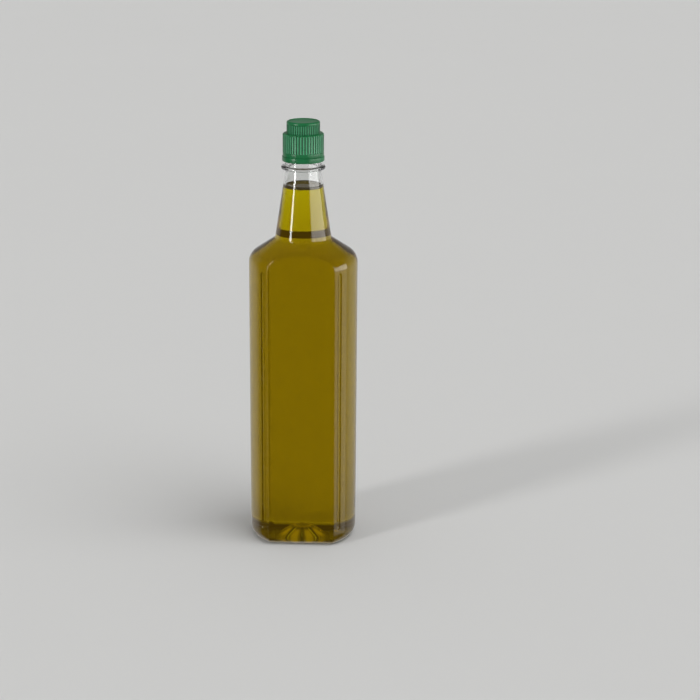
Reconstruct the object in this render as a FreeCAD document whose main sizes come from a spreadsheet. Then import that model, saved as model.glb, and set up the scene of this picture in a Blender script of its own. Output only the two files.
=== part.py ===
"""A one-litre bottle of oil: clear blown bottle, its filling, and a two-stage ribbed closure.

Millimetres, +Z up, origin on the ground under the middle of the bottle.
Every driving dimension is a named cell of the spreadsheet. Each moulded piece is an object
whose sizes are bound to those cells.
"""

import FreeCAD
import Part
import Sketcher
import math
import os

# Driving dimensions of the bottle, its filling and its closure, in millimetres.
SIZES = {
    # round body with a flat panel front and back, set in from the round sides
    "body_radius": 40.0,
    "panel_inset": 8.4,
    "heel_radius": 7.9,
    "shoulder_height": 218.4,
    "shoulder_radius": 10.7,
    "body_wall": 0.5,
    # one upright flute on each of the four corners between the panels and the round sides
    "flute_radius": 1.7,
    "flute_depth": 1.0,
    "flute_bottom": 14.0,
    "flute_stop": 8.9,
    # raised middle of the base, inside the foot, with ribs that run out from its flat top
    "foot_width": 3.9,
    "punt_top_radius": 6.0,
    "punt_height": 9.0,
    "punt_rib_width": 2.4,
    "punt_rib_height": 1.0,
    # conical neck, and the straight finish that carries the closure
    "shoulder_rise": 12.8,
    "neck_base_radius": 20.7,
    "neck_base_fillet": 2.0,
    "neck_length": 51.0,
    "bore_radius": 11.2,
    "neck_wall": 1.6,
    "finish_wall": 1.9,
    "ring_step": 3.2,
    "ring_thickness": 2.2,
    "ring_edge_radius": 0.8,
    "air_above_oil": 12.6,
    # closure: tamper band, ribbed collar and ribbed top cap
    "closure_clearance": 0.15,
    "band_gap": 3.7,
    "band_height": 3.6,
    "band_wall": 2.1,
    "band_edge_radius": 0.4,
    "collar_depth": 15.1,
    "collar_roof": 1.5,
    "collar_wall": 1.7,
    "collar_land": 3.1,
    "collar_edge_radius": 1.4,
    "cap_step": 2.85,
    "cap_height": 8.7,
    "cap_land": 2.3,
    "cap_edge_radius": 1.2,
    "dish_rim": 1.8,
    "dish_depth": 0.4,
    "rib_cut_radius": 0.55,
    "rib_cut_depth": 0.45,
}
# Places and radii that follow from the sizes above, each with its own cell.
FOLLOWING = {
    "panel_distance": "body_radius - panel_inset",
    "punt_radius": "panel_distance - heel_radius - foot_width",
    "flute_top": "shoulder_height - flute_stop",
    "neck_base_height": "shoulder_height + shoulder_rise",
    "ring_bottom": "neck_base_height + neck_length",
    "ring_top": "ring_bottom + ring_thickness",
    "oil_level": "ring_bottom - air_above_oil",
    "neck_top_radius": "bore_radius + neck_wall",
    "ring_radius": "neck_top_radius + ring_step",
    "finish_radius": "bore_radius + finish_wall",
    "closure_bore": "finish_radius + closure_clearance",
    "band_bottom": "ring_top + band_gap",
    "collar_bottom": "band_bottom + band_height",
    "finish_top": "collar_bottom + collar_depth",
    "collar_top": "finish_top + collar_roof",
    "cap_top": "collar_top + cap_height",
    "band_radius": "closure_bore + band_wall",
    "collar_radius": "closure_bore + collar_wall",
    "collar_rib_bottom": "collar_bottom + collar_land",
    "cap_radius": "collar_radius - cap_step",
    "cap_rib_top": "cap_top - cap_land",
    "dish_radius": "cap_radius - dish_rim",
}
RIBS = 44
PUNT_RIBS = 8

doc = FreeCAD.newDocument("oil_bottle")
sheet = doc.addObject("Spreadsheet::Sheet", "sizes")
for row, (alias, size) in enumerate((SIZES | FOLLOWING).items(), start=1):
    sheet.set(f"A{row}", alias)
    sheet.set(f"B{row}", str(size) if alias in SIZES else f"={size}")
    sheet.setAlias(f"B{row}", alias)
doc.recompute()


def terms(formula):
    """Splits 'a + b - c' into signed names and numbers."""
    signed = formula.replace(" - ", " + -").split(" + ")
    return [(-1, term[1:]) if term.startswith("-") else (1, term) for term in signed]


def value_of(name):
    """One named size, or a plain number, in millimetres."""
    if name in FOLLOWING:
        return size_of(FOLLOWING[name])
    return SIZES[name] if name in SIZES else float(name)


def size_of(formula):
    """The value of a sum of named sizes and plain numbers, in millimetres."""
    return sum(sign * value_of(name) for sign, name in terms(formula))


def cells(formula):
    """The same sum as an expression that reads the spreadsheet."""
    names = SIZES | FOLLOWING
    words = [f"<<sizes>>.{name}" if name in names else name for _, name in terms(formula)]
    signs = ["-" if sign < 0 else "+" for sign, _ in terms(formula)]
    return " ".join(f"{sign} {word}" for sign, word in zip(signs, words)).removeprefix("+ ")


def new_body(name):
    """An empty PartDesign body."""
    return doc.addObject("PartDesign::Body", name)


def origin_feature(body, role):
    """The body's own origin plane or axis with that role."""
    return next(feature for feature in body.Origin.OriginFeatures if feature.Role == role)


def new_sketch(body, name, plane, height="0"):
    """A sketch on one of the body's origin planes, raised along the plane's normal."""
    sketch = body.newObject("Sketcher::SketchObject", name)
    sketch.AttachmentSupport = [(origin_feature(body, plane), "")]
    sketch.MapMode = "FlatFace"
    sketch.setExpression("AttachmentOffset.Base.z", cells(height))
    return sketch


def place_point(sketch, geometry, end, across, up):
    """Ties a point of the sketch to its distance across and up from the origin."""
    for kind, formula, axis in (("DistanceX", across, -2), ("DistanceY", up, -1)):
        if size_of(formula) == 0:
            sketch.addConstraint(Sketcher.Constraint("PointOnObject", geometry, end, axis))
            continue
        number = sketch.addConstraint(Sketcher.Constraint(kind, -1, 1, geometry, end, size_of(formula)))
        sketch.setExpression(f"Constraints[{number}]", cells(formula))


def round_corner(before, corner, after, radius):
    """The arc that rounds a corner between two straight sides, and whether it turns left."""
    to_before = (before - corner).normalize()
    to_after = (after - corner).normalize()
    half = to_before.getAngle(to_after) / 2
    start = corner + to_before * (radius / math.tan(half))
    end = corner + to_after * (radius / math.tan(half))
    centre = corner + (to_before + to_after).normalize() * (radius / math.sin(half))
    turns_left = to_after.cross(to_before).z > 0
    first, last = (start, end) if turns_left else (end, start)
    middle = centre + (corner - centre).normalize() * radius
    return Part.Arc(first, middle, last), start, end, turns_left


def draw_outline(sketch, corners):
    """Closed outline; each corner is (across, up) or, if rounded, (across, up, radius), in named sizes."""
    places = [FreeCAD.Vector(size_of(corner[0]), size_of(corner[1]), 0) for corner in corners]
    count = len(corners)
    arcs = {}
    starts, ends = list(places), list(places)
    for index, corner in enumerate(corners):
        if len(corner) == 3:
            before, after = places[index - 1], places[(index + 1) % count]
            arcs[index] = round_corner(before, places[index], after, size_of(corner[2]))
            ends[index], starts[index] = arcs[index][1], arcs[index][2]
    for index in range(count):
        sketch.addGeometry(Part.LineSegment(starts[index], ends[(index + 1) % count]), False)
    for index, corner in enumerate(corners):
        before = (index - 1) % count
        if index not in arcs:
            sketch.addConstraint(Sketcher.Constraint("Coincident", before, 2, index, 1))
            place_point(sketch, index, 1, corner[0], corner[1])
            continue
        arc, _, _, turns_left = arcs[index]
        curve = sketch.addGeometry(arc, False)
        first, last = (1, 2) if turns_left else (2, 1)
        sketch.addConstraint(Sketcher.Constraint("Tangent", before, 2, curve, first))
        sketch.addConstraint(Sketcher.Constraint("Tangent", curve, last, index, 1))
        number = sketch.addConstraint(Sketcher.Constraint("Radius", curve, size_of(corner[2])))
        sketch.setExpression(f"Constraints[{number}]", cells(corner[2]))
        sharp = sketch.addGeometry(Part.Point(places[index]), True)
        sketch.addConstraint(Sketcher.Constraint("PointOnObject", sharp, 1, before))
        sketch.addConstraint(Sketcher.Constraint("PointOnObject", sharp, 1, index))
        place_point(sketch, sharp, 1, corner[0], corner[1])


def draw_circle(sketch, across, radius):
    """A circle on the sketch's horizontal axis."""
    centre = FreeCAD.Vector(size_of(across), 0, 0)
    sketch.addGeometry(Part.Circle(centre, FreeCAD.Vector(0, 0, 1), size_of(radius)), False)
    place_point(sketch, 0, 3, across, "0")
    number = sketch.addConstraint(Sketcher.Constraint("Radius", 0, size_of(radius)))
    sketch.setExpression(f"Constraints[{number}]", cells(radius))


def revolved(body, name, corners):
    """Turns a closed outline once round the upright axis."""
    sketch = new_sketch(body, name + "_outline", "XZ_Plane")
    draw_outline(sketch, corners)
    turned = body.newObject("PartDesign::Revolution", name)
    turned.Profile = sketch
    turned.ReferenceAxis = (origin_feature(body, "Z_Axis"), [""])
    turned.Angle = 360
    doc.recompute()
    return turned


def ribbed(body, name, rim_radius, bottom, top):
    """Cuts evenly spaced round channels into a rim, which leaves upright finger ribs."""
    sketch = new_sketch(body, name + "_channel", "XY_Plane", bottom)
    draw_circle(sketch, f"{rim_radius} + rib_cut_radius - rib_cut_depth", "rib_cut_radius")
    channel = body.newObject("PartDesign::Pocket", name + "_cut")
    channel.Profile = sketch
    channel.Reversed = True
    channel.setExpression("Length", cells(f"{top} - {bottom}"))
    doc.recompute()
    ring = body.newObject("PartDesign::PolarPattern", name)
    ring.Originals = [channel]
    ring.Axis = (origin_feature(body, "Z_Axis"), [""])
    ring.Angle = 360
    ring.Occurrences = RIBS
    body.Tip = ring
    doc.recompute()
    return ring


def turned_form(name, skin, upper_corners):
    """The round form of the bottle, set in by a skin thickness, before its panels are cut."""
    body = new_body(name)
    side = f"body_radius - {skin}"
    corners = [
        ("0", skin),
        (side, skin, f"heel_radius - {skin}"),
        (side, "shoulder_height", "shoulder_radius"),
        (f"neck_base_radius - {skin}", "neck_base_height", "neck_base_fillet"),
    ]
    revolved(body, name + "_turned", corners + upper_corners)
    return body


def panel_slab(name, skin):
    """A block as deep as the bottle is between its flat panels, with the panels' own heel."""
    body = new_body(name)
    sketch = new_sketch(body, name + "_outline", "YZ_Plane")
    front = f"0 - panel_distance + {skin}"
    back = f"panel_distance - {skin}"
    heel = f"heel_radius - {skin}"
    draw_outline(sketch, [(front, skin, heel), (back, skin, heel), (back, "finish_top"), (front, "finish_top")])
    block = body.newObject("PartDesign::Pad", name + "_block")
    block.Profile = sketch
    block.Midplane = True
    block.setExpression("Length", cells("body_radius + body_radius + heel_radius"))
    doc.recompute()
    return body


def punt_form(name, lift):
    """The raised middle of the base as a solid: a blunt cone with ribs that run down its slope."""
    body = new_body(name)
    top = f"punt_height + {lift}"
    cone = [("0", "0"), (f"punt_radius + {lift}", "0"), (f"punt_top_radius + {lift}", top), ("0", top)]
    revolved(body, name + "_cone", cone)
    sketch = new_sketch(body, name + "_rib_outline", "XZ_Plane")
    foot = f"punt_radius + {lift} + punt_rib_height"
    crest = f"punt_top_radius + {lift} + punt_rib_height"
    draw_outline(sketch, [("0", "0"), (foot, "0"), (crest, top), ("0", top)])
    rib = body.newObject("PartDesign::Pad", name + "_rib")
    rib.Profile = sketch
    rib.Midplane = True
    rib.setExpression("Length", cells(f"punt_rib_width + {lift}"))
    doc.recompute()
    star = body.newObject("PartDesign::PolarPattern", name + "_ribs")
    star.Originals = [rib]
    star.Axis = (origin_feature(body, "Z_Axis"), [""])
    star.Angle = 360
    star.Occurrences = PUNT_RIBS
    body.Tip = star
    doc.recompute()
    return body


def flute_form(name, skin):
    """Four upright round-ended rods on the corners, whose inner edges press the flutes in."""
    radius = cells(f"flute_radius + {skin}")
    reach = f"({cells('body_radius + flute_radius - flute_depth')}) * sqrt(0.5)"
    pieces = []
    for across in (-1, 1):
        for along in (-1, 1):
            rod = doc.addObject("Part::Cylinder", name + "_rod")
            rod.setExpression("Height", cells("flute_top - flute_bottom"))
            ends = [doc.addObject("Part::Sphere", name + "_end") for _ in range(2)]
            for piece, height in zip([rod] + ends, ("flute_bottom", "flute_bottom", "flute_top")):
                piece.setExpression("Radius", radius)
                piece.setExpression("Placement.Base.x", f"{across} * {reach}")
                piece.setExpression("Placement.Base.y", f"{along} * {reach}")
                piece.setExpression("Placement.Base.z", cells(height))
                pieces.append(piece)
    rods = doc.addObject("Part::MultiFuse", name)
    rods.Shapes = pieces
    doc.recompute()
    return rods


def blown_form(name, skin, upper_corners):
    """The bottle's form, set in by a skin thickness: panels, flutes and punt included."""
    turned = turned_form(name + "_round", skin, upper_corners)
    slab = panel_slab(name + "_slab", skin)
    faced = doc.addObject("Part::Common", name + "_faced")
    faced.Base = turned
    faced.Tool = slab
    faced.Refine = True
    hollows = doc.addObject("Part::MultiFuse", name + "_hollows")
    hollows.Shapes = [punt_form(name + "_punt", skin), flute_form(name + "_flutes", skin)]
    form = doc.addObject("Part::Cut", name)
    form.Base = faced
    form.Tool = hollows
    form.Refine = True
    doc.recompute()
    return form


def make_bottle():
    """The clear bottle: its outer form less its cavity, open at the finish."""
    outside = [
        ("neck_top_radius", "ring_bottom"),
        ("ring_radius", "ring_bottom", "ring_edge_radius"),
        ("ring_radius", "ring_top", "ring_edge_radius"),
        ("finish_radius", "ring_top"),
        ("finish_radius", "finish_top"),
        ("0", "finish_top"),
    ]
    inside = [("bore_radius", "ring_bottom"), ("bore_radius", "finish_top"), ("0", "finish_top")]
    outer = blown_form("outer_form", "0", outside)
    cavity = blown_form("cavity_form", "body_wall", inside)
    bottle = doc.addObject("Part::Cut", "bottle")
    bottle.Base = outer
    bottle.Tool = cavity
    bottle.Refine = True
    return bottle, cavity


def make_oil(cavity):
    """The filling: the lower part of the cavity, up to the oil's level."""
    filled = doc.addObject("Part::Cylinder", "filled_height")
    filled.setExpression("Radius", cells("body_radius + heel_radius"))
    filled.setExpression("Height", cells("oil_level"))
    oil = doc.addObject("Part::Common", "oil")
    oil.Base = cavity
    oil.Tool = filled
    oil.Refine = True
    return oil


def make_band():
    """The smooth tamper band under the collar, loose round the finish."""
    body = new_body("tamper_band")
    band = [
        ("closure_bore", "band_bottom"),
        ("band_radius", "band_bottom", "band_edge_radius"),
        ("band_radius", "collar_bottom", "band_edge_radius"),
        ("closure_bore", "collar_bottom"),
    ]
    revolved(body, "band_turned", band)
    return body


def make_collar():
    """The wide lower part of the closure, seated on the finish, with finger ribs."""
    body = new_body("cap_collar")
    collar = [
        ("closure_bore", "collar_bottom"),
        ("collar_radius", "collar_bottom"),
        ("collar_radius", "collar_top", "collar_edge_radius"),
        ("0", "collar_top"),
        ("0", "finish_top"),
        ("closure_bore", "finish_top"),
    ]
    revolved(body, "collar_turned", collar)
    ribbed(body, "collar_ribs", "collar_radius", "collar_rib_bottom", "collar_top")
    return body


def make_cap():
    """The narrow top cap, seated on the collar, with a shallow dished top and finger ribs."""
    body = new_body("top_cap")
    cap = [
        ("0", "collar_top"),
        ("cap_radius", "collar_top"),
        ("cap_radius", "cap_top", "cap_edge_radius"),
        ("dish_radius", "cap_top"),
        ("dish_radius", "cap_top - dish_depth"),
        ("0", "cap_top - dish_depth"),
    ]
    revolved(body, "cap_turned", cap)
    ribbed(body, "cap_ribs", "cap_radius", "collar_top", "cap_rib_top")
    return body


def check_document():
    """Stops if any object of the document failed to build."""
    for thing in doc.Objects:
        if {"Invalid", "Error"} & set(thing.State):
            raise RuntimeError(f"{thing.Name} failed: {thing.State}")


def write_parts(pieces):
    """Writes each piece to its own file once all of them are sound."""
    check_document()
    for piece in pieces:
        if piece.Shape.isNull() or not piece.Shape.isValid():
            raise RuntimeError(f"{piece.Label} has no sound shape")
    os.makedirs("parts", exist_ok=True)
    for piece in pieces:
        piece.Shape.exportStep(f"parts/{piece.Label}.step")
        print(f"{piece.Label}: {piece.Shape.Volume / 1000:.1f} cm3, {len(piece.Shape.Solids)} solid")


bottle, cavity = make_bottle()
parts = [bottle, make_oil(cavity), make_band(), make_collar(), make_cap()]
doc.recompute()
write_parts(parts)
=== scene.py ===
"""A one-litre clear bottle of oil with a ribbed two-stage closure, dressed for a studio picture.

Shape sizes are in millimetres, as on a drawing, and are turned to metres when a mesh is pressed
to shape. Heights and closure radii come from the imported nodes' own boxes.
"""

import logging
import math
from collections.abc import Sequence
from dataclasses import dataclass, field
from enum import Enum

import bpy
import numpy as np
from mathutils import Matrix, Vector


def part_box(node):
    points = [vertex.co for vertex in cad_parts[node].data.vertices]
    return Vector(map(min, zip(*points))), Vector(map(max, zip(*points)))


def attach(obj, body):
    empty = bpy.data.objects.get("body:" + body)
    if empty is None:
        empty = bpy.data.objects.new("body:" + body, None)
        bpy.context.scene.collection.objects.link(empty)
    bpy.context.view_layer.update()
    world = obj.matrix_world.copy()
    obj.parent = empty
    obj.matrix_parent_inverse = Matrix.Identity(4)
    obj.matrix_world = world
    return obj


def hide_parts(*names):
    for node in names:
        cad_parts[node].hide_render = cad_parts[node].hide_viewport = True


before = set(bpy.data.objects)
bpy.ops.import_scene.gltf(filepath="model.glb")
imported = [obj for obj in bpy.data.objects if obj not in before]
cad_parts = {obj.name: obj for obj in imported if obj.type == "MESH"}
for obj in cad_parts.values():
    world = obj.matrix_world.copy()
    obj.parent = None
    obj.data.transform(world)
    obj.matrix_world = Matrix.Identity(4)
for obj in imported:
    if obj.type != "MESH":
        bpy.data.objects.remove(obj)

LOG = logging.getLogger("oil_bottle")
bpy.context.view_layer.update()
MM = 0.001
BODY = "root"
BLACK = (0.0, 0.0, 0.0, 1.0)

Level = tuple[np.ndarray, np.ndarray]
Point = tuple[float, float]
Span = tuple[float, float]
Colour = tuple[float, float, float, float]


class Slot(Enum):
    """The record's material slots."""

    CLEAR = "clear_plastic"
    OIL = "oil"
    GREEN = "green_plastic"


# ---------------------------------------------------------------------------------------------
# Modelling
# ---------------------------------------------------------------------------------------------


def make_active(piece: bpy.types.Object) -> None:
    """Leaves edit mode and makes one piece the only selected object.

    Args:
        piece: The piece to work on next.
    """
    if bpy.context.object is not None and bpy.context.object.mode != "OBJECT":
        bpy.ops.object.mode_set(mode="OBJECT")
    bpy.ops.object.select_all(action="DESELECT")
    piece.select_set(True)
    bpy.context.view_layer.objects.active = piece


def rolled_sheet(
    name: str, azimuths: np.ndarray, levels: Sequence[Level], sharp: float, second_from: int = 0
) -> bpy.types.Object:
    """Rolls a flat sheet into a closed turned piece, from one pole to the other.

    Args:
        name: The new piece's name.
        azimuths: Directions round the piece in radians, once round, starting at zero.
        levels: Distances from the axis and heights at each azimuth, in millimetres, from the
            first pole to the last one. Both poles lie on the axis.
        sharp: Edges that turn by more than this many degrees stay sharp.
        second_from: From this level on, faces take the second finish; 0 for none.

    Returns:
        The closed piece, at the origin.
    """
    bpy.ops.mesh.primitive_grid_add(x_subdivisions=len(azimuths), y_subdivisions=len(levels) - 1, size=2)
    piece = bpy.context.object
    piece.name = name
    flat = np.zeros(len(piece.data.vertices) * 3)
    piece.data.vertices.foreach_get("co", flat)
    flat = flat.reshape(-1, 3)
    side = np.rint((flat[:, 0] + 1) / 2 * len(azimuths)).astype(int) % len(azimuths)
    level = np.rint((flat[:, 1] + 1) / 2 * (len(levels) - 1)).astype(int)
    distance = np.array([row[0] for row in levels])[level, side] * MM
    height = np.array([row[1] for row in levels])[level, side] * MM
    places = np.stack([distance * np.cos(azimuths[side]), distance * np.sin(azimuths[side]), height], axis=1)
    piece.data.vertices.foreach_set("co", places.ravel())
    corners = np.zeros(len(piece.data.loops), dtype=np.int32)
    piece.data.loops.foreach_get("vertex_index", corners)
    lowest = level[corners].reshape(-1, 4).min(axis=1)
    second = (lowest >= second_from) & (second_from > 0)
    make_active(piece)
    bpy.ops.object.material_slot_add()
    bpy.ops.object.material_slot_add()
    piece.data.polygons.foreach_set("material_index", second.astype(np.int32))
    piece.data.update()
    bpy.ops.object.mode_set(mode="EDIT")
    bpy.ops.mesh.select_all(action="SELECT")
    bpy.ops.mesh.remove_doubles(threshold=1e-6)
    bpy.ops.mesh.select_all(action="SELECT")
    bpy.ops.mesh.normals_make_consistent(inside=False)
    bpy.ops.object.mode_set(mode="OBJECT")
    bpy.ops.object.shade_smooth_by_angle(angle=math.radians(sharp))
    return piece


def rounded_path(corners: Sequence[tuple[float, ...]]) -> list[Point]:
    """Lays points along an outline whose corners may be rounded.

    Args:
        corners: (radius, height) for a sharp corner, or (radius, height, rounding, steps).

    Returns:
        The (radius, height) of each point, in order.
    """
    places = [Vector(corner[:2]) for corner in corners]
    points: list[Point] = []
    for index, corner in enumerate(corners):
        if len(corner) == 2:
            points.append(tuple(corner))
            continue
        rounding, steps = corner[2], int(corner[3])
        back = (places[index - 1] - places[index]).normalized()
        ahead = (places[index + 1] - places[index]).normalized()
        half = back.angle(ahead) / 2
        centre = places[index] + (back + ahead).normalized() * (rounding / math.sin(half))
        first = places[index] + back * (rounding / math.tan(half)) - centre
        turn = first.angle_signed(places[index] + ahead * (rounding / math.tan(half)) - centre)
        for step in range(steps + 1):
            angle = -turn * step / steps
            radius = centre.x + first.x * math.cos(angle) - first.y * math.sin(angle)
            height = centre.y + first.x * math.sin(angle) + first.y * math.cos(angle)
            points.append((radius, height))
    return points


def with_heights(path: list[Point], heights: Sequence[float]) -> list[Point]:
    """Adds points at more heights to a path that only rises.

    Args:
        path: The (radius, height) points, from the lowest up.
        heights: The heights to add; those beyond the path or next to a point are left out.

    Returns:
        The old and new points, from the lowest up.
    """
    added = list(path)
    rise = [point[1] for point in path]
    for height in heights:
        if rise[0] < height < rise[-1] and min(abs(height - other) for other in rise) > 0.05:
            added.append((float(np.interp(height, rise, [point[0] for point in path])), float(height)))
    return sorted(added, key=lambda point: point[1])


def straight_points(foot: Point, end: Point, rises: Sequence[float]) -> list[Point]:
    """Lays points on the line through two points, at these heights above the first."""
    slope = (end[0] - foot[0]) / (end[1] - foot[1])
    return [(foot[0] + slope * rise, foot[1] + rise) for rise in rises]


def soft_min(first: np.ndarray, second: np.ndarray, width: float) -> np.ndarray:
    """The smaller of two distances, blended where they come within a width of each other."""
    near = np.maximum(width - np.abs(first - second), 0.0)
    return np.minimum(first, second) - near * near / (4 * width)


def smooth_step(low: float, high: float, value: np.ndarray) -> np.ndarray:
    """Rises smoothly from 0 at low to 1 at high."""
    share = np.clip((value - low) / (high - low), 0.0, 1.0)
    return share * share * (3 - 2 * share)


def node_span(node: str) -> tuple[float, float, float]:
    """A packed round node's radius, bottom and top, in millimetres."""
    low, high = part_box(node)
    return high[0] / MM, low[2] / MM, high[2] / MM


def settle(piece: bpy.types.Object, node: str, finishes: Sequence[bpy.types.Material]) -> None:
    """Dresses a piece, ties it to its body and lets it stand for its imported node.

    Args:
        piece: The finished mesh.
        node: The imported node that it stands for.
        finishes: Its materials, in the order of the faces' finish numbers.
    """
    make_active(piece)
    while len(piece.material_slots) > len(finishes):
        bpy.ops.object.material_slot_remove()
    while len(piece.material_slots) < len(finishes):
        bpy.ops.object.material_slot_add()
    for index, finish in enumerate(finishes):
        piece.material_slots[index].material = finish
    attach(piece, BODY)
    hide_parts(node)
    LOG.info("%s stands for %s: %d faces", piece.name, node, len(piece.data.polygons))


# ---------------------------------------------------------------------------------------------
# Finishes
# ---------------------------------------------------------------------------------------------


class Graph:
    """A node tree with short ways to add nodes and join them up."""

    def __init__(self, tree: bpy.types.NodeTree) -> None:
        """Starts from a tree, which may hold nodes already."""
        self.tree = tree

    def feed(self, socket: bpy.types.NodeSocket, value: object) -> None:
        """Links a socket to another socket, or sets it.

        Args:
            socket: The input to feed.
            value: An output socket, or a plain value.
        """
        if isinstance(value, bpy.types.NodeSocket):
            self.tree.links.new(value, socket)
        else:
            socket.default_value = value

    def add(self, kind: str, inputs: dict | None = None, **settings: object) -> bpy.types.Node:
        """Adds a node.

        Args:
            kind: The node's type.
            inputs: What each input takes, by name or number.
            **settings: The node's own settings.

        Returns:
            The new node.
        """
        node = self.tree.nodes.new(kind)
        for key, value in settings.items():
            setattr(node, key, value)
        for key, value in (inputs or {}).items():
            self.feed(node.inputs[key], value)
        return node

    def math(self, operation: str, first: object, second: object = 0.0) -> bpy.types.NodeSocket:
        """One sum of two numbers."""
        return self.add("ShaderNodeMath", {0: first, 1: second}, operation=operation).outputs[0]

    def product(self, *factors: object) -> bpy.types.NodeSocket:
        """Multiplies numbers together.

        Args:
            *factors: Two or more numbers or sockets.

        Returns:
            Their product.
        """
        total = factors[0]
        for factor in factors[1:]:
            total = self.math("MULTIPLY", total, factor)
        return total

    def rise(self, value: object, low: float, high: float) -> bpy.types.NodeSocket:
        """A mask that rises smoothly from 0 at low to 1 at high, or falls if low is the larger."""
        inputs = {"Value": value, "From Min": low, "From Max": high}
        return self.add("ShaderNodeMapRange", inputs, interpolation_type="SMOOTHSTEP").outputs["Result"]

    def blend(self, share: object, first: object, second: object) -> bpy.types.NodeSocket:
        """Mixes two colours.

        Args:
            share: How much of the second colour, from 0 to 1.
            first: The colour at 0.
            second: The colour at 1.

        Returns:
            The mixed colour.
        """
        node = self.add("ShaderNodeMix", data_type="RGBA")
        for index, value in ((0, share), (6, first), (7, second)):
            self.feed(node.inputs[index], value)
        return node.outputs[2]

    def place(self) -> bpy.types.NodeSocket:
        """The place in the piece's own frame, in metres."""
        return self.add("ShaderNodeTexCoord").outputs["Object"]

    def from_spoke(self, across: object, along: object, spokes: int) -> bpy.types.NodeSocket:
        """How far round an X and Y lie from the nearest spoke: 0 on it, 0.5 halfway to the next."""
        turns = self.math("MULTIPLY", self.math("ARCTAN2", along, across), spokes / (2 * math.pi))
        return self.math("PINGPONG", turns, 0.5)


def mottle_group(broad_share: float = 0.7) -> bpy.types.NodeTree:
    """Makes the effect that every finish shares: soft unevenness, broad and fine.

    Args:
        broad_share: How much of the unevenness is the broad kind.

    Returns:
        The node group. It puts out a mask, and a normal shaded by it.
    """
    group = bpy.data.node_groups.new("mottle", "ShaderNodeTree")
    group.interface.new_socket("Vector", in_out="INPUT", socket_type="NodeSocketVector")
    for name in ("Broad", "Fine", "Height"):
        group.interface.new_socket(name, in_out="INPUT", socket_type="NodeSocketFloat")
    group.interface.new_socket("Mask", in_out="OUTPUT", socket_type="NodeSocketFloat")
    group.interface.new_socket("Normal", in_out="OUTPUT", socket_type="NodeSocketVector")
    graph = Graph(group)
    given = graph.add("NodeGroupInput").outputs
    result = graph.add("NodeGroupOutput")
    where = given["Vector"]
    broad = graph.add("ShaderNodeTexNoise", {"Vector": where, "Scale": given["Broad"], "Detail": 2.0})
    fine = graph.add("ShaderNodeTexNoise", {"Vector": where, "Scale": given["Fine"], "Detail": 3.0})
    broad_part = graph.math("MULTIPLY", broad.outputs["Fac"], broad_share)
    fine_part = graph.math("MULTIPLY", fine.outputs["Fac"], 1.0 - broad_share)
    mask = graph.math("ADD", broad_part, fine_part)
    bump = graph.add("ShaderNodeBump", {"Height": mask, "Distance": given["Height"], "Strength": 1.0})
    graph.feed(result.inputs["Mask"], mask)
    graph.feed(result.inputs["Normal"], bump.outputs["Normal"])
    return group


@dataclass(frozen=True)
class Grain:
    """How close together a finish's broad and fine unevenness lie, and how deep, in metres."""

    broad: float
    fine: float
    depth: float


@dataclass(frozen=True)
class Finish:
    """What every finish has: a name and a grain."""

    name: str
    grain: Grain = Grain(10.0, 50.0, 0.0)

    def start(self, mottle: bpy.types.NodeTree) -> tuple[bpy.types.Material, Graph, bpy.types.Node]:
        """Starts a new material.

        Args:
            mottle: The shared unevenness.

        Returns:
            The material, its graph and its mottle node.
        """
        material = bpy.data.materials.new(self.name)
        material.use_nodes = True
        graph = Graph(material.node_tree)
        uneven = graph.add("ShaderNodeGroup", node_tree=mottle)
        inputs = {
            "Vector": graph.place(),
            "Broad": self.grain.broad,
            "Fine": self.grain.fine,
            "Height": self.grain.depth,
        }
        for key, value in inputs.items():
            graph.feed(uneven.inputs[key], value)
        return material, graph, uneven

    @staticmethod
    def principled(graph: Graph) -> bpy.types.Node:
        """The material's Principled node."""
        return graph.tree.nodes["Principled BSDF"]

    @staticmethod
    def make_clear(surface: bpy.types.Node, ior: float) -> None:
        """Turns a surface into a smooth clear one.

        Args:
            surface: The Principled node.
            ior: The index of refraction.
        """
        surface.inputs["Transmission Weight"].default_value = 1.0
        surface.inputs["IOR"].default_value = ior
        surface.inputs["Roughness"].default_value = 0.0


@dataclass(frozen=True)
class ClearPlastic(Finish):
    """Blown clear plastic: smooth, very slightly wavy.

    Where oil wets it, the two almost match, so that face hardly mirrors anything.
    """

    grain: Grain = Grain(22.0, 90.0, 0.00004)
    ior: float = 1.57
    wetted: bool = False
    tint: Colour = (0.985, 0.99, 0.985, 1)
    haze_and_painted_glow: Colour = (0.96, 0.97, 0.96, 1)

    def build(self, mottle: bpy.types.NodeTree) -> bpy.types.Material:
        """Makes the material.

        Args:
            mottle: The shared unevenness.

        Returns:
            The finished material.
        """
        material, graph, uneven = self.start(mottle)
        surface = self.principled(graph)
        self.make_clear(surface, self.ior)
        if self.wetted:
            surface.inputs["Specular Tint"].default_value = BLACK
        graph.feed(surface.inputs["Base Color"], graph.blend(uneven.outputs["Mask"], self.tint, self.haze_and_painted_glow))
        graph.feed(surface.inputs["Normal"], uneven.outputs["Normal"])
        return material


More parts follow.
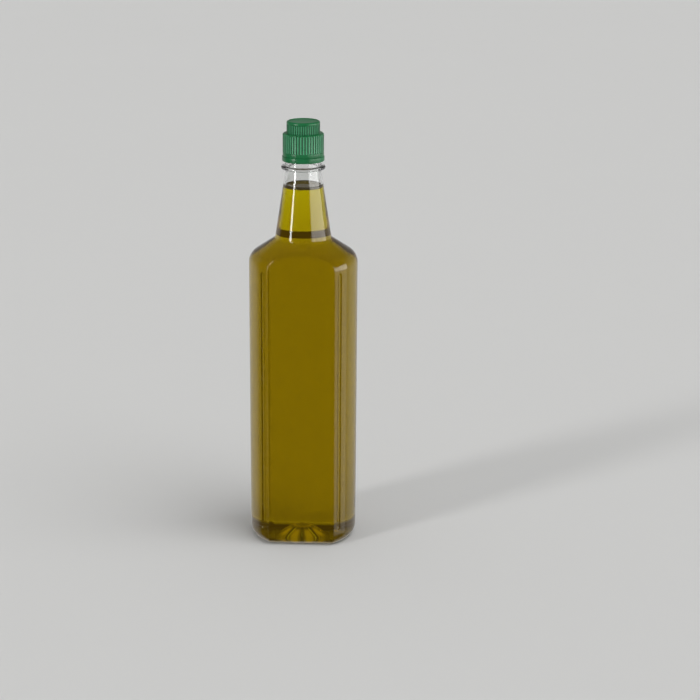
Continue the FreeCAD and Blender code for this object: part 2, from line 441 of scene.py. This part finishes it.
@dataclass(frozen=True)
class BaseGlow:
    """A painted glow standing in for the light that oil gathers over a ribbed punt: petals between the ribs,
    and the punt's rim.

    Spans run from where a mask starts to where it is full, in millimetres.
    """

    # Painted glow: emission strengths for the petals and the rim, not light from a lamp.
    petals: float = 0.13
    rim: float = 0.07
    ribs: int = 8
    between_ribs: Span = (0.1, 0.36)
    petals_inner: Span = (7.5, 11.0)
    petals_outer: Span = (19.5, 14.5)
    rim_inner: Span = (4.5, 5.5)
    rim_outer: Span = (7.8, 6.6)
    fades_above: Span = (12.5, 10.5)

    def strength(self, graph: Graph) -> bpy.types.NodeSocket:
        """Works out the painted glow at each place.

        Args:
            graph: The material's graph.

        Returns:
            The glow's strength.
        """
        across, along, height = graph.add("ShaderNodeSeparateXYZ", {0: graph.place()}).outputs
        flat = graph.add("ShaderNodeCombineXYZ", {0: across, 1: along}).outputs[0]
        reach = graph.add("ShaderNodeVectorMath", {0: flat}, operation="LENGTH").outputs["Value"]

        def mask(value: bpy.types.NodeSocket, span: Span) -> bpy.types.NodeSocket:
            """A mask over a span in millimetres."""
            return graph.rise(value, span[0] * MM, span[1] * MM)

        between = graph.rise(graph.from_spoke(across, along, self.ribs), *self.between_ribs)
        slope = graph.product(mask(reach, self.petals_inner), mask(reach, self.petals_outer))
        petals = graph.product(slope, between, self.petals)
        rim = graph.product(mask(reach, self.rim_inner), mask(reach, self.rim_outer), self.rim)
        return graph.product(graph.math("ADD", petals, rim), mask(height, self.fades_above))


@dataclass(frozen=True)
class OilLiquid(Finish):
    """Olive oil: clear, and deeper in colour the more of it light passes through.

    Where it wets the plastic, the two almost match, so only its free surface mirrors anything.
    It gives off a faint painted glow, and a painted dark line of shade runs just above its level.
    """

    grain: Grain = Grain(18.0, 60.0, 0.0)
    level: float = 0.0
    free: bool = False
    ior: float = 1.47
    body_colour: Colour = (0.921, 0.8895, 0.02, 1)
    density: float = 220.0
    # Painted shade: a near-black line just above the oil's level, where its curved edge shows dark.
    meniscus_painted_shade: Colour = (0.03, 0.025, 0.01, 1)
    meniscus_shade_rise: Span = (0.1, 0.35)
    thin: Colour = (1.0, 1.0, 0.98, 1)
    thick: Colour = (1.0, 0.99, 0.96, 1)
    # Painted glow: a faint light given off all through the oil, so that the deepest oil doesn't go black.
    painted_glow_colour: Colour = (0.95, 0.66, 0.02, 1)
    haze_and_painted_glow: float = 0.024
    glow: BaseGlow = BaseGlow()

    def build(self, mottle: bpy.types.NodeTree) -> bpy.types.Material:
        """Makes the material.

        Args:
            mottle: The shared unevenness.

        Returns:
            The finished material.
        """
        material, graph, uneven = self.start(mottle)
        surface = self.principled(graph)
        self.make_clear(surface, self.ior)
        if not self.free:
            surface.inputs["Specular Tint"].default_value = BLACK
        clear = graph.blend(uneven.outputs["Mask"], self.thin, self.thick)
        height = graph.add("ShaderNodeSeparateXYZ", {0: graph.place()}).outputs[2]
        # Painted shade: darkens the oil's colour just above its level.
        low, high = ((self.level + rise) * MM for rise in self.meniscus_shade_rise)
        colour = graph.blend(graph.rise(height, low, high), clear, self.meniscus_painted_shade)
        graph.feed(surface.inputs["Base Color"], colour)
        self.light_up(graph, surface)
        inside = graph.add("ShaderNodeVolumeAbsorption", {"Color": self.body_colour, "Density": self.density})
        graph.feed(graph.tree.nodes["Material Output"].inputs["Volume"], inside.outputs["Volume"])
        return material

    def light_up(self, graph: Graph, surface: bpy.types.Node) -> None:
        """Paints a faint glow that keeps the deepest oil from going black, and adds the base's painted glow.

        Args:
            graph: The material's graph.
            surface: The Principled node.
        """
        # Painted glow: the oil gives off light of its own, as emission.
        brightest = self.haze_and_painted_glow + self.glow.petals
        strength = graph.math("ADD", self.glow.strength(graph), self.haze_and_painted_glow)
        share = graph.math("DIVIDE", strength, brightest)
        graph.feed(surface.inputs["Emission Color"], graph.blend(share, BLACK, self.painted_glow_colour))
        surface.inputs["Emission Strength"].default_value = brightest


@dataclass(frozen=True)
class GreenPlastic(Finish):
    """Moulded green plastic with a soft gloss, with a painted highlight on the crests of its ribs and painted
    shade between them.
    """

    grain: Grain = Grain(160.0, 900.0, 0.00001)
    ribbed: Span | None = None
    ribs: int = 44
    light: Colour = (0.012, 0.165, 0.054, 1)
    dark: Colour = (0.007, 0.120, 0.036, 1)
    # Painted highlight on the rib crests, and painted shade in the channels between them.
    crest_highlight: Colour = (0.085, 0.400, 0.200, 1)
    channel: Colour = (0.003, 0.062, 0.017, 1)
    highlight_edge: Span = (0.17, 0.33)
    smoothest: float = 0.22
    unevenness: float = 0.16

    def paint_rib_light_and_shade(self, graph: Graph, plain: object) -> bpy.types.NodeSocket:
        """Paints a highlight on the crests and shade in the channels, between the two rib heights.

        Args:
            graph: The material's graph.
            plain: The colour above and below the ribs.

        Returns:
            The colour at each place.
        """
        across, along, height = graph.add("ShaderNodeSeparateXYZ", {0: graph.place()}).outputs
        aside = graph.from_spoke(across, along, self.ribs)
        # Painted highlight on the crests and painted shade in the channels.
        ribbed = graph.blend(graph.rise(aside, *self.highlight_edge), self.channel, self.crest_highlight)
        bottom, top = self.ribbed
        above = graph.rise(height, (bottom - 0.2) * MM, (bottom + 0.2) * MM)
        below = graph.rise(height, (top + 0.3) * MM, (top - 0.3) * MM)
        return graph.blend(graph.product(above, below), plain, ribbed)

    def build(self, mottle: bpy.types.NodeTree) -> bpy.types.Material:
        """Makes the material.

        Args:
            mottle: The shared unevenness.

        Returns:
            The finished material.
        """
        material, graph, uneven = self.start(mottle)
        surface = self.principled(graph)
        colour = graph.blend(graph.rise(uneven.outputs["Mask"], 0.35, 0.65), self.dark, self.light)
        if self.ribbed:
            colour = self.paint_rib_light_and_shade(graph, colour)
        graph.feed(surface.inputs["Base Color"], colour)
        rough = graph.product(uneven.outputs["Mask"], self.unevenness)
        graph.feed(surface.inputs["Roughness"], graph.math("ADD", rough, self.smoothest))
        graph.feed(surface.inputs["Normal"], uneven.outputs["Normal"])
        surface.inputs["Specular IOR Level"].default_value = 0.5
        return material


@dataclass(frozen=True)
class PaleGround(Finish):
    """The plain pale studio floor."""

    grain: Grain = Grain(1.5, 9.0, 0.0)
    light: Colour = (0.70, 0.70, 0.69, 1)
    dark: Colour = (0.685, 0.685, 0.675, 1)

    def build(self, mottle: bpy.types.NodeTree) -> bpy.types.Material:
        """Makes the material.

        Args:
            mottle: The shared unevenness.

        Returns:
            The finished material.
        """
        material, graph, uneven = self.start(mottle)
        surface = self.principled(graph)
        graph.feed(surface.inputs["Base Color"], graph.blend(uneven.outputs["Mask"], self.dark, self.light))
        surface.inputs["Roughness"].default_value = 0.9
        surface.inputs["Specular IOR Level"].default_value = 0.1
        return material


# ---------------------------------------------------------------------------------------------
# The bottle and its oil
# ---------------------------------------------------------------------------------------------


@dataclass
class BlownForm:
    """The bottle's form, from which both skins of the wall and the oil are pressed."""

    body_radius: float = 40.0
    panel_distance: float = 31.6
    panel_rounding: float = 0.65
    heel_radius: float = 7.9
    shoulder_height: float = 218.4
    shoulder_radius: float = 10.7
    neck_base_radius: float = 20.7
    neck_base_height: float = 231.2
    neck_base_fillet: float = 2.0
    above_fillet: float = 2.4
    neck_top_radius: float = 12.8
    neck_wall: float = 1.6
    ring_bottom: float = 282.2
    wall: float = 0.5
    flute_radius: float = 1.7
    flute_depth: float = 1.0
    flute_bottom: float = 14.0
    flute_top: float = 209.5
    flute_lip: float = 0.25
    punt_radius: float = 19.8
    punt_top_radius: float = 6.0
    punt_height: float = 9.0
    punt_crown: float = 1.6
    punt_rounding: float = 1.2
    punt_fade: float = 1.5
    rib_crest: float = 0.7
    rib_foot: float = 1.9
    rib_height: float = 1.0
    ribs: int = 8

    def azimuths(self) -> np.ndarray:
        """Lays directions round the bottle, close together at the panel edges and the flutes.

        Returns:
            The directions in radians.
        """
        stops = ((0, 41.5, 1.9), (41.5, 48.5, 0.45), (48.5, 51, 0.6), (51, 54, 0.3), (54, 90, 1.4))
        quarter = np.concatenate([np.arange(low, high - 1e-6, step) for low, high, step in stops])
        half = np.concatenate([quarter, [90.0], 180.0 - quarter[:0:-1]])
        return np.radians(np.concatenate([half, half + 180.0]))

    def from_panel(self) -> np.ndarray:
        """The angle of each direction from the nearer panel's normal, in radians."""
        return np.arccos(np.clip(np.abs(np.sin(self.azimuths())), 0, 1))

    def round_levels(self, path: Sequence[Point]) -> list[Level]:
        """Plain round levels that follow a path."""
        sides = len(self.azimuths())
        return [(np.full(sides, radius), np.full(sides, height)) for radius, height in path]

    def panelled(self, radius: float, panel: float) -> np.ndarray:
        """The distance at each azimuth to a circle cut by two panels this far from the axis."""
        facing = np.maximum(np.cos(self.from_panel()), 1e-3)
        return soft_min(np.full(len(facing), radius), panel / facing, self.panel_rounding)

    def fluted(self, distance: np.ndarray, height: float, skin: float) -> np.ndarray:
        """Presses the four flutes into one level.

        Args:
            distance: The level's distance from the axis at each azimuth.
            height: The level's height.
            skin: How far the level is set in from the outside.

        Returns:
            The distance with the flutes pressed in.
        """
        past = max(self.flute_bottom - height, height - self.flute_top, 0.0)
        rod = self.flute_radius + skin
        if past >= rod:
            return distance
        reach = self.body_radius + self.flute_radius - self.flute_depth
        aside = reach * np.sin(self.from_panel() - math.pi / 4)
        chord = rod * rod - past * past - aside * aside
        dent = reach * np.cos(self.from_panel() - math.pi / 4) - np.sqrt(np.maximum(chord, 0.0))
        return np.where(chord > 0, soft_min(distance, dent, self.flute_lip), distance)

    def punt_level(self, reach: float, outer: float, skin: float) -> Level:
        """Shapes one ring of the ribbed punt.

        Args:
            reach: The ring's distance from the axis.
            outer: Where the punt has run out into the foot.
            skin: How far the level is set in from the outside.

        Returns:
            The ring's level.
        """
        azimuths = self.azimuths()
        aside = np.abs((azimuths * self.ribs / (2 * math.pi) + 0.5) % 1.0 - 0.5) * (2 * math.pi / self.ribs)
        lateral = reach * np.sin(np.minimum(aside, math.pi / 2))
        lift = self.rib_height * (1 - smooth_step(self.rib_crest, self.rib_foot, lateral))
        slope = (self.punt_radius + skin + lift - reach) / (self.punt_radius - self.punt_top_radius)
        crown = np.full(len(azimuths), self.punt_height)
        raised = soft_min(slope * self.punt_height, crown, self.punt_crown)
        raised = -soft_min(-raised, np.zeros(len(azimuths)), self.punt_rounding)
        edge = outer - self.punt_fade
        fade = smooth_step(outer, edge, np.full(len(azimuths), reach)) if reach > edge else 1.0
        return np.full(len(azimuths), reach), skin + np.minimum(raised, self.punt_height) * fade

    def base_levels(self, skin: float) -> list[Level]:
        """Shapes the base from its middle out to the heel: the ribbed punt, then the flat foot.

        Args:
            skin: How far the levels are set in from the outside.

        Returns:
            The levels, from the axis out.
        """
        foot = self.panelled(self.body_radius - self.heel_radius, self.panel_distance - self.heel_radius)
        outer = self.punt_radius + skin + self.rib_height
        reaches = np.concatenate([[0.0, 1.5, 3.5], np.linspace(4.6, outer, 24)])
        levels = [self.punt_level(reach, outer, skin) for reach in reaches]
        for share in (0.35, 0.7, 0.93):
            levels.append((outer + (foot - outer) * share, np.full(len(foot), skin)))
        return levels

    def side_path(self, skin: float) -> list[Point]:
        """Draws the round sides, from the foot up to the foot of the neck.

        Args:
            skin: How far the path is set in from the outside.

        Returns:
            The path's points, closer together where the flutes end and over the shoulder.
        """
        neck_top = self.neck_top_radius - (self.neck_wall if skin else 0.0)
        corners = [
            (0.0, skin),
            (self.body_radius - skin, skin, self.heel_radius - skin, 12),
            (self.body_radius - skin, self.shoulder_height, self.shoulder_radius, 18),
            (self.neck_base_radius - skin, self.neck_base_height, self.neck_base_fillet, 6),
            (neck_top, self.ring_bottom),
        ]
        heights = [
            *np.arange(self.flute_bottom - 2.4, self.flute_bottom + 0.9, 0.35),
            *np.arange(self.flute_top - 0.8, self.flute_top + 2.5, 0.35),
            *(9.6, 10.6, 16.0, 60.0, 112.0, 165.0, 206.0, 207.6),
            *np.arange(self.flute_top + 3.0, self.neck_base_height - 1.2, 0.65),
        ]
        return with_heights(rounded_path(corners)[1:-1], heights)

    def side_levels(self, skin: float) -> list[Level]:
        """Shapes the sides, with their panels, heel and flutes pressed in.

        Args:
            skin: How far the levels are set in from the outside.

        Returns:
            The levels, from the foot up to the foot of the neck.
        """
        levels: list[Level] = []
        heel = self.heel_radius - skin
        for radius, height in self.side_path(skin):
            drop = max(self.heel_radius - height, 0.0)
            set_in = heel - math.sqrt(max(heel * heel - drop * drop, 0.0))
            distance = self.panelled(radius, self.panel_distance - skin - set_in)
            distance = self.fluted(distance, height, skin)
            levels.append((distance, np.full(len(distance), height)))
        return levels


@dataclass
class Bottle:
    """The clear bottle: outer skin, rim and inner skin in one closed piece."""

    form: BlownForm
    finish_top: float
    oil_level: float
    ring_radius: float = 16.0
    ring_top: float = 284.4
    ring_edge: float = 0.8
    finish_radius: float = 13.1
    finish_fillet: float = 0.5
    rim_bevel: float = 0.8
    bore_blend: float = 3.0

    def neck_outside(self) -> list[Point]:
        """Draws the neck, its support ring and the finish.

        Returns:
            The outline, from the foot of the neck up to the rim.
        """
        form = self.form
        top = (form.neck_top_radius, form.ring_bottom)
        foot = (form.neck_base_radius, form.neck_base_height)
        lower = straight_points(foot, top, (form.above_fillet, 25.0, 48.0))
        corners = [
            lower[-1],
            (*top, self.finish_fillet, 4),
            (self.ring_radius, form.ring_bottom, self.ring_edge, 6),
            (self.ring_radius, self.ring_top, self.ring_edge, 6),
            (self.finish_radius, self.ring_top, self.finish_fillet, 4),
            (self.finish_radius, self.finish_top - 6.0),
            (self.finish_radius, self.finish_top, self.finish_fillet, 4),
            (self.finish_radius - 1.0, self.finish_top),
        ]
        return lower[:-1] + rounded_path(corners)

    def neck_inside(self) -> list[Point]:
        """Draws the bore.

        Returns:
            The outline, from the rim down to the foot of the neck.
        """
        form = self.form
        bore = form.neck_top_radius - form.neck_wall
        foot = (form.neck_base_radius - form.wall, form.neck_base_height)
        level = self.oil_level - form.neck_base_height
        rises = (level + 0.4, level - 0.1, 25.0, form.above_fillet)
        lower = straight_points(foot, (bore, form.ring_bottom), rises)
        corners = [
            (bore + self.rim_bevel, self.finish_top),
            (bore, self.finish_top, self.finish_fillet, 4),
            (bore, form.ring_bottom, self.bore_blend, 4),
            lower[0],
        ]
        return rounded_path(corners) + lower[1:]

    def build(self) -> bpy.types.Object:
        """Presses the bottle and shades it smooth.

        Returns:
            The bottle, whose faces below the oil's level take the second finish.
        """
        form = self.form
        levels = form.base_levels(0.0) + form.side_levels(0.0) + form.round_levels(self.neck_outside())
        levels += form.round_levels(self.neck_inside())
        last_dry = next(i for i in range(len(levels) - 1, 0, -1) if levels[i][1][0] > self.oil_level)
        inner = form.base_levels(form.wall) + form.side_levels(form.wall)
        return rolled_sheet("clear_bottle", form.azimuths(), levels + inner[::-1], 40.0, last_dry + 1)

    def dress(self, piece: bpy.types.Object, mottle: bpy.types.NodeTree) -> None:
        """Gives the bottle its dry and its wetted finish.

        Args:
            piece: The built bottle.
            mottle: The shared unevenness.
        """
        dry = ClearPlastic("blown_plastic").build(mottle)
        wetted = ClearPlastic("wetted_plastic", wetted=True).build(mottle)
        settle(piece, "bottle", (dry, wetted))


@dataclass
class Oil:
    """The oil: the cavity's form, reaching just into the wall, with a curved edge at its level."""

    form: BlownForm
    level: float
    into_wall: float = 0.12
    climb: float = 1.4
    climb_width: float = 0.9
    free_below: float = 0.8

    def surface(self, edge: float) -> list[Point]:
        """Draws the free surface, which climbs the wall a little.

        Args:
            edge: The surface's radius.

        Returns:
            The outline, from the wall in to the axis.
        """
        points = [(edge, self.level + self.climb)]
        for back in (0.12, 0.3, 0.6, 1.0, 1.6, 2.4, 3.6, 6.0):
            climb = self.climb * math.exp(-(back - self.into_wall) / self.climb_width)
            points.append((edge - back, self.level + climb))
        points.append((0.0, self.level))
        return points

    def build(self) -> bpy.types.Object:
        """Presses the oil and its surface.

        Returns:
            The oil, whose free surface takes the second finish.
        """
        form = self.form
        skin = form.wall - self.into_wall
        foot = (form.neck_base_radius - skin, form.neck_base_height)
        bore = form.neck_top_radius - form.neck_wall + self.into_wall
        depth = self.level - form.neck_base_height
        rises = (form.above_fillet, 20.0, depth - self.free_below, depth)
        *neck, edge = straight_points(foot, (bore, form.ring_bottom), rises)
        surface = self.surface(edge[0])
        levels = form.base_levels(skin) + form.side_levels(skin) + form.round_levels(neck + surface)
        free_from = len(levels) - len(surface) - 1
        return rolled_sheet("oil_filling", form.azimuths(), levels, 50.0, free_from)

    def dress(self, piece: bpy.types.Object, mottle: bpy.types.NodeTree) -> None:
        """Gives the oil its wetting and its free finish.

        Args:
            piece: The built oil.
            mottle: The shared unevenness.
        """
        held = OilLiquid("olive_oil", level=self.level).build(mottle)
        free = OilLiquid("oil_surface", level=self.level, free=True).build(mottle)
        settle(piece, "oil", (held, free))


# ---------------------------------------------------------------------------------------------
# The closure
# ---------------------------------------------------------------------------------------------


@dataclass
class FingerRibs:
    """Upright round-backed finger ribs with open channels between them."""

    count: int = 44
    rib_share: float = 0.29
    channel_depth: float = 0.5
    sides_each: int = 12

    def azimuths(self) -> np.ndarray:
        """Directions round the rim, the same number to each rib."""
        sides = self.count * self.sides_each
        return np.arange(sides) / sides * 2 * math.pi

    def channel(self) -> np.ndarray:
        """Works out how deep the surface lies under the ribs' crests.

        Returns:
            The depth at each azimuth.
        """
        pitch = 2 * math.pi / self.count
        aside = np.abs((self.azimuths() / pitch + 0.5) % 1.0 - 0.5) / self.rib_share
        return self.channel_depth * (1 - np.sqrt(np.maximum(1 - aside * aside, 0.0)))


@dataclass
class RibbedCap:
    """A moulded piece of the closure: a round-edged rim with ribs between two heights."""

    name: str
    node: str
    radius: float
    bottom: float
    top: float
    edge: float
    ribbed: Span
    # The heights between which the ribs get their painted highlight and shade.
    painted_rib_span: Span
    bore: float = 0.0
    roof: float = 0.0
    dish_radius: float = 0.0
    dish_depth: float = 0.0
    dish_slope: float = 0.35
    lower_edge: float = 0.25
    rib_fade: float = 0.25
    ribs: FingerRibs = field(default_factory=FingerRibs)

    def outline(self) -> list[Point]:
        """Draws the outside.

        Returns:
            The outline, from the middle of the top, over the rim and down to the lower edge.
        """
        corners: list[tuple[float, ...]] = [(0.0, self.top - self.dish_depth)]
        if self.dish_depth:
            corners += [
                (self.dish_radius, self.top - self.dish_depth, 0.35, 4),
                (self.dish_radius + self.dish_slope, self.top, 0.2, 3),
            ]
        corners += [
            (self.radius, self.top, self.edge, 8),
            (self.radius, self.bottom, self.lower_edge, 3),
            (self.bore, self.bottom),
        ]
        return rounded_path(corners)

    def rib_heights(self) -> set[float]:
        """Extra heights at the ends of the ribs, where they fade out."""
        heights = [end + step for end in self.ribbed for step in (-0.3, -0.15, 0.0, 0.15, 0.3)]
        return {round(height, 4) for height in heights if self.bottom < height < self.top}

    def filled_outline(self) -> list[Point]:
        """Adds the ribs' extra heights to the rim.

        Returns:
            The outline, with its rim filled in.
        """
        outside = self.outline()
        inner = self.radius - self.edge - 0.01
        rim = [point for point in outside if point[0] > inner and point[1] < self.top]
        rest = [point for point in outside if point not in rim]
        before = [point for point in rest if point[1] > self.bottom + 0.01]
        after = [point for point in rest if point[1] <= self.bottom + 0.01]
        rising = sorted({round(height, 4) for _, height in outside} | self.rib_heights())
        heights = [height for height in rising if rim[-1][1] <= height <= rim[0][1]]
        order = sorted(rim, key=lambda point: point[1])
        radii = np.interp(heights, [point[1] for point in order], [point[0] for point in order])
        filled = [(float(radius), height) for radius, height in zip(radii, heights)]
        return before + filled[::-1] + after

    def levels(self) -> list[Level]:
        """Shapes every level of the piece, with the ribs cut in where the rim has them.

        Returns:
            The levels, from the middle of the top round to the axis below.
        """
        channel = self.ribs.channel()
        low, high = self.ribbed
        levels: list[Level] = []
        for radius, height in self.filled_outline():
            inside = smooth_step(low - self.rib_fade, low + self.rib_fade, np.array(height))
            inside = inside * smooth_step(high + self.rib_fade, high - self.rib_fade, np.array(height))
            cut = np.maximum(channel - (self.radius - radius) * 0.9, 0.0) * inside
            levels.append((np.full(len(channel), radius) - cut, np.full(len(channel), height)))
        if self.bore:
            under = [(self.bore, self.bottom), (self.bore, self.roof), (0.0, self.roof)]
            for radius, height in under:
                levels.append((np.full(len(channel), radius), np.full(len(channel), height)))
        return levels

    def build(self) -> bpy.types.Object:
        """Presses the piece and shades it smooth."""
        return rolled_sheet(self.name, self.ribs.azimuths(), self.levels(), 38.0)

    def dress(self, piece: bpy.types.Object, mottle: bpy.types.NodeTree) -> None:
        """Gives the piece its green finish, with painted highlight and shade on its ribs."""
        finish = GreenPlastic("green" + self.name.removeprefix("closure"), ribbed=self.painted_rib_span).build(mottle)
        settle(piece, self.node, (finish,))


@dataclass
class TamperBand:
    """The plain ring under the collar, with a soft lower edge."""

    radius: float
    bottom: float
    top: float
    bore: float
    edge: float = 0.4

    def build(self) -> bpy.types.Object:
        """Makes a disc, opens it and softens its edges.

        Returns:
            The band.
        """
        bpy.ops.mesh.primitive_cylinder_add(
            vertices=192,
            radius=self.radius * MM,
            depth=(self.top - self.bottom) * MM,
            location=(0, 0, (self.top + self.bottom) / 2 * MM),
        )
        band = bpy.context.object
        band.name = "closure_band"
        bpy.ops.object.transform_apply(location=True)
        bpy.ops.object.mode_set(mode="EDIT")
        bpy.ops.mesh.select_mode(type="FACE")
        bpy.ops.mesh.select_all(action="DESELECT")
        bpy.ops.object.mode_set(mode="OBJECT")
        for face in band.data.polygons:
            face.select = abs(face.normal.z) > 0.9
        bpy.ops.object.mode_set(mode="EDIT")
        bpy.ops.mesh.inset(thickness=(self.radius - self.bore) * MM, use_individual=True)
        bpy.ops.mesh.bridge_edge_loops()
        bpy.ops.mesh.select_all(action="SELECT")
        bpy.ops.mesh.normals_make_consistent(inside=False)
        bpy.ops.object.mode_set(mode="OBJECT")
        round_off = band.modifiers.new("soft_edges", "BEVEL")
        round_off.width = self.edge * MM
        round_off.segments = 4
        round_off.limit_method = "ANGLE"
        make_active(band)
        bpy.ops.object.modifier_apply(modifier=round_off.name)
        bpy.ops.object.shade_smooth_by_angle(angle=math.radians(40))
        return band

    def dress(self, piece: bpy.types.Object, mottle: bpy.types.NodeTree) -> None:
        """Gives the band its plain green finish."""
        settle(piece, "tamper_band", (GreenPlastic("green_band").build(mottle),))


@dataclass
class Closure:
    """The closure: the band, the collar over it and the narrower top cap."""

    finish_top: float
    bore: float = 13.25
    collar_edge: float = 1.4
    collar_ribs_from: float = 294.8
    collar_ribs_below_top: float = 1.0
    cap_edge: float = 1.2
    cap_ribs_to: float = 314.7
    cap_ribs_under: float = 1.0
    dish_radius: float = 10.3
    dish_depth: float = 0.4

    def band(self) -> TamperBand:
        """The band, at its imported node's size."""
        return TamperBand(*node_span("tamper_band"), self.bore)

    def collar(self) -> RibbedCap:
        """Sizes the collar, whose ribs run up to its rounded top edge.

        Returns:
            The collar.
        """
        radius, bottom, top = node_span("cap_collar")
        ribbed = (self.collar_ribs_from, top)
        # The collar's painted rib highlight and shade stop a little below its top.
        painted_rib_span = (self.collar_ribs_from, top - self.collar_ribs_below_top)
        return RibbedCap(
            "closure_collar", "cap_collar", radius, bottom, top, self.collar_edge, ribbed, painted_rib_span,
            bore=self.bore, roof=self.finish_top,
        )

    def top_cap(self) -> RibbedCap:
        """Sizes the top cap, whose ribs run down onto the collar.

        Returns:
            The top cap.
        """
        radius, bottom, top = node_span("top_cap")
        ribbed = (bottom - self.cap_ribs_under, self.cap_ribs_to)
        return RibbedCap(
            "closure_cap", "top_cap", radius, bottom, top, self.cap_edge, ribbed, ribbed,
            dish_radius=self.dish_radius, dish_depth=self.dish_depth,
        )


# ---------------------------------------------------------------------------------------------
# Studio
# ---------------------------------------------------------------------------------------------


@dataclass(frozen=True)
class GlowPatch:
    """A soft-edged patch of the surroundings; angles in degrees, azimuth 0 in front, 90 to the right."""

    azimuth: Span
    elevation: Span
    soft: float
    brightness: float

    def mask(self, graph: Graph, azimuth: object, elevation: object) -> bpy.types.NodeSocket:
        """Works out the patch's light in each direction.

        Args:
            graph: The world's graph.
            azimuth: The direction's azimuth in degrees.
            elevation: The direction's elevation in degrees.

        Returns:
            The patch's brightness inside it, and 0 outside.
        """
        total: object = self.brightness
        for value, (low, high) in ((azimuth, self.azimuth), (elevation, self.elevation)):
            up = graph.rise(value, low - self.soft, low + self.soft)
            down = graph.rise(value, high + self.soft, high - self.soft)
            total = graph.product(total, graph.product(up, down))
        return total


SURROUNDINGS = (
    # The bright ground behind the bottle, and the paler wall over it, right and left.
    GlowPatch((110, 200), (-90, 3), 10, 0.5),
    GlowPatch((-200, -110), (-90, 3), 10, 0.5),
    GlowPatch((110, 200), (3, 28), 10, 0.22),
    GlowPatch((-200, -110), (3, 28), 10, 0.22),
    # A broad lit opening to the right, dimmer towards the ground.
    GlowPatch((38, 108), (-24, -9), 2, 0.8),
    GlowPatch((38, 108), (-9, 16), 2, 3.0),
    # A narrow strip light to the left, dimmer towards the ground.
    GlowPatch((-55, -46), (-25, -10), 1, 1.5),
    GlowPatch((-55, -46), (-10, 40), 1, 12.0),
    # The dim ceiling.
    GlowPatch((-200, 200), (32, 90), 12, 0.02),
)


@dataclass
class Studio:
    """The camera, the floor, the surroundings and the lamp."""

    target_height: float = 144.6
    distance: float = 1380.0
    pitch: float = 16.94
    turn: float = 3.2
    lens: float = 95.14
    shift: float = 0.0667
    backdrop: float = 0.644
    near_side: float = 0.02
    near_side_through: float = 0.13
    sun_strength: float = 1.15
    sun_width: float = 50.0
    sky_strength: float = 0.34
    floor_radius: float = 9.0

    def place_camera(self) -> None:
        """Adds the camera and makes it the scene's own."""
        tilt, turn = math.radians(self.pitch), math.radians(self.turn)
        back = Vector((math.sin(turn) * math.cos(tilt), -math.cos(turn) * math.cos(tilt), math.sin(tilt)))
        target = Vector((0, 0, self.target_height * MM))
        bpy.ops.object.camera_add(location=target + back * self.distance * MM)
        camera = bpy.context.object
        camera.name = "view"
        camera.rotation_mode = "QUATERNION"
        camera.rotation_quaternion = (-back).to_track_quat("-Z", "Y")
        camera.data.lens = self.lens
        camera.data.sensor_width = 36.0
        camera.data.shift_x = self.shift
        camera.data.clip_start = 0.01
        camera.data.clip_end = 100.0
        bpy.context.scene.camera = camera

    def lay_floor(self, mottle: bpy.types.NodeTree) -> None:
        """Adds the floor, which mirrors don't see.

        Args:
            mottle: The shared unevenness.
        """
        bpy.ops.mesh.primitive_circle_add(
            vertices=96, radius=self.floor_radius, fill_type="NGON", location=(0, 0, 0)
        )
        floor = bpy.context.object
        floor.name = "studio_floor"
        floor.data.materials.append(PaleGround("pale_ground").build(mottle))
        floor.visible_glossy = False

    def hang_sun(self) -> None:
        """Adds one broad soft lamp above and to the right, for the floor's shadow."""
        bpy.ops.object.light_add(type="SUN", location=(0.6, -0.4, 1.5))
        sun = bpy.context.object
        sun.name = "soft_lamp"
        sun.data.energy = self.sun_strength
        sun.data.angle = math.radians(self.sun_width)
        sun.rotation_mode = "QUATERNION"
        sun.rotation_quaternion = Vector((-0.55, 0.35, -1.0)).to_track_quat("-Z", "Y")
        sun.visible_glossy = False
        sun.visible_transmission = False

    def surround(self) -> None:
        """Paints the surroundings that the oil and the plastic mirror and let through."""
        world = bpy.data.worlds.new("surroundings")
        bpy.context.scene.world = world
        world.use_nodes = True
        graph = Graph(world.node_tree)
        direction = graph.add("ShaderNodeTexCoord").outputs["Generated"]
        across, along, up = graph.add("ShaderNodeSeparateXYZ", {0: direction}).outputs
        toward = graph.product(along, -1.0)
        azimuth = graph.product(graph.math("ARCTAN2", across, toward), 180 / math.pi)
        elevation = graph.product(graph.math("ARCSINE", up), 180 / math.pi)
        total: object = self.near_side
        for patch in SURROUNDINGS:
            total = graph.math("ADD", total, patch.mask(graph, azimuth, elevation))
        rays = graph.add("ShaderNodeLightPath").outputs
        total = graph.math("ADD", total, graph.product(rays["Is Diffuse Ray"], self.sky_strength))
        through = graph.product(rays["Is Transmission Ray"], self.near_side_through)
        total = graph.math("MAXIMUM", total, through)
        grey = graph.add("ShaderNodeCombineXYZ", {0: total, 1: total, 2: total}).outputs[0]
        shade = graph.blend(rays["Is Camera Ray"], grey, (self.backdrop, self.backdrop, self.backdrop, 1))
        graph.feed(graph.tree.nodes["Background"].inputs["Color"], shade)


# ---------------------------------------------------------------------------------------------
# Assembly
# ---------------------------------------------------------------------------------------------


def main() -> None:
    """Builds each part of the picture in order."""
    logging.basicConfig(level=logging.INFO, format="%(name)s: %(message)s")
    mottle = mottle_group()
    form = BlownForm()
    finish_top, oil_level = node_span("bottle")[2], node_span("oil")[2]
    closure = Closure(finish_top)
    makers = (
        Bottle(form, finish_top, oil_level),
        Oil(form, oil_level),
        closure.band(),
        closure.collar(),
        closure.top_cap(),
    )
    for maker in makers:
        maker.dress(maker.build(), mottle)
    studio = Studio()
    studio.lay_floor(mottle)
    studio.hang_sun()
    studio.surround()
    studio.place_camera()
    bpy.context.scene.view_settings.view_transform = "Standard"


if __name__ == "__main__":
    main()
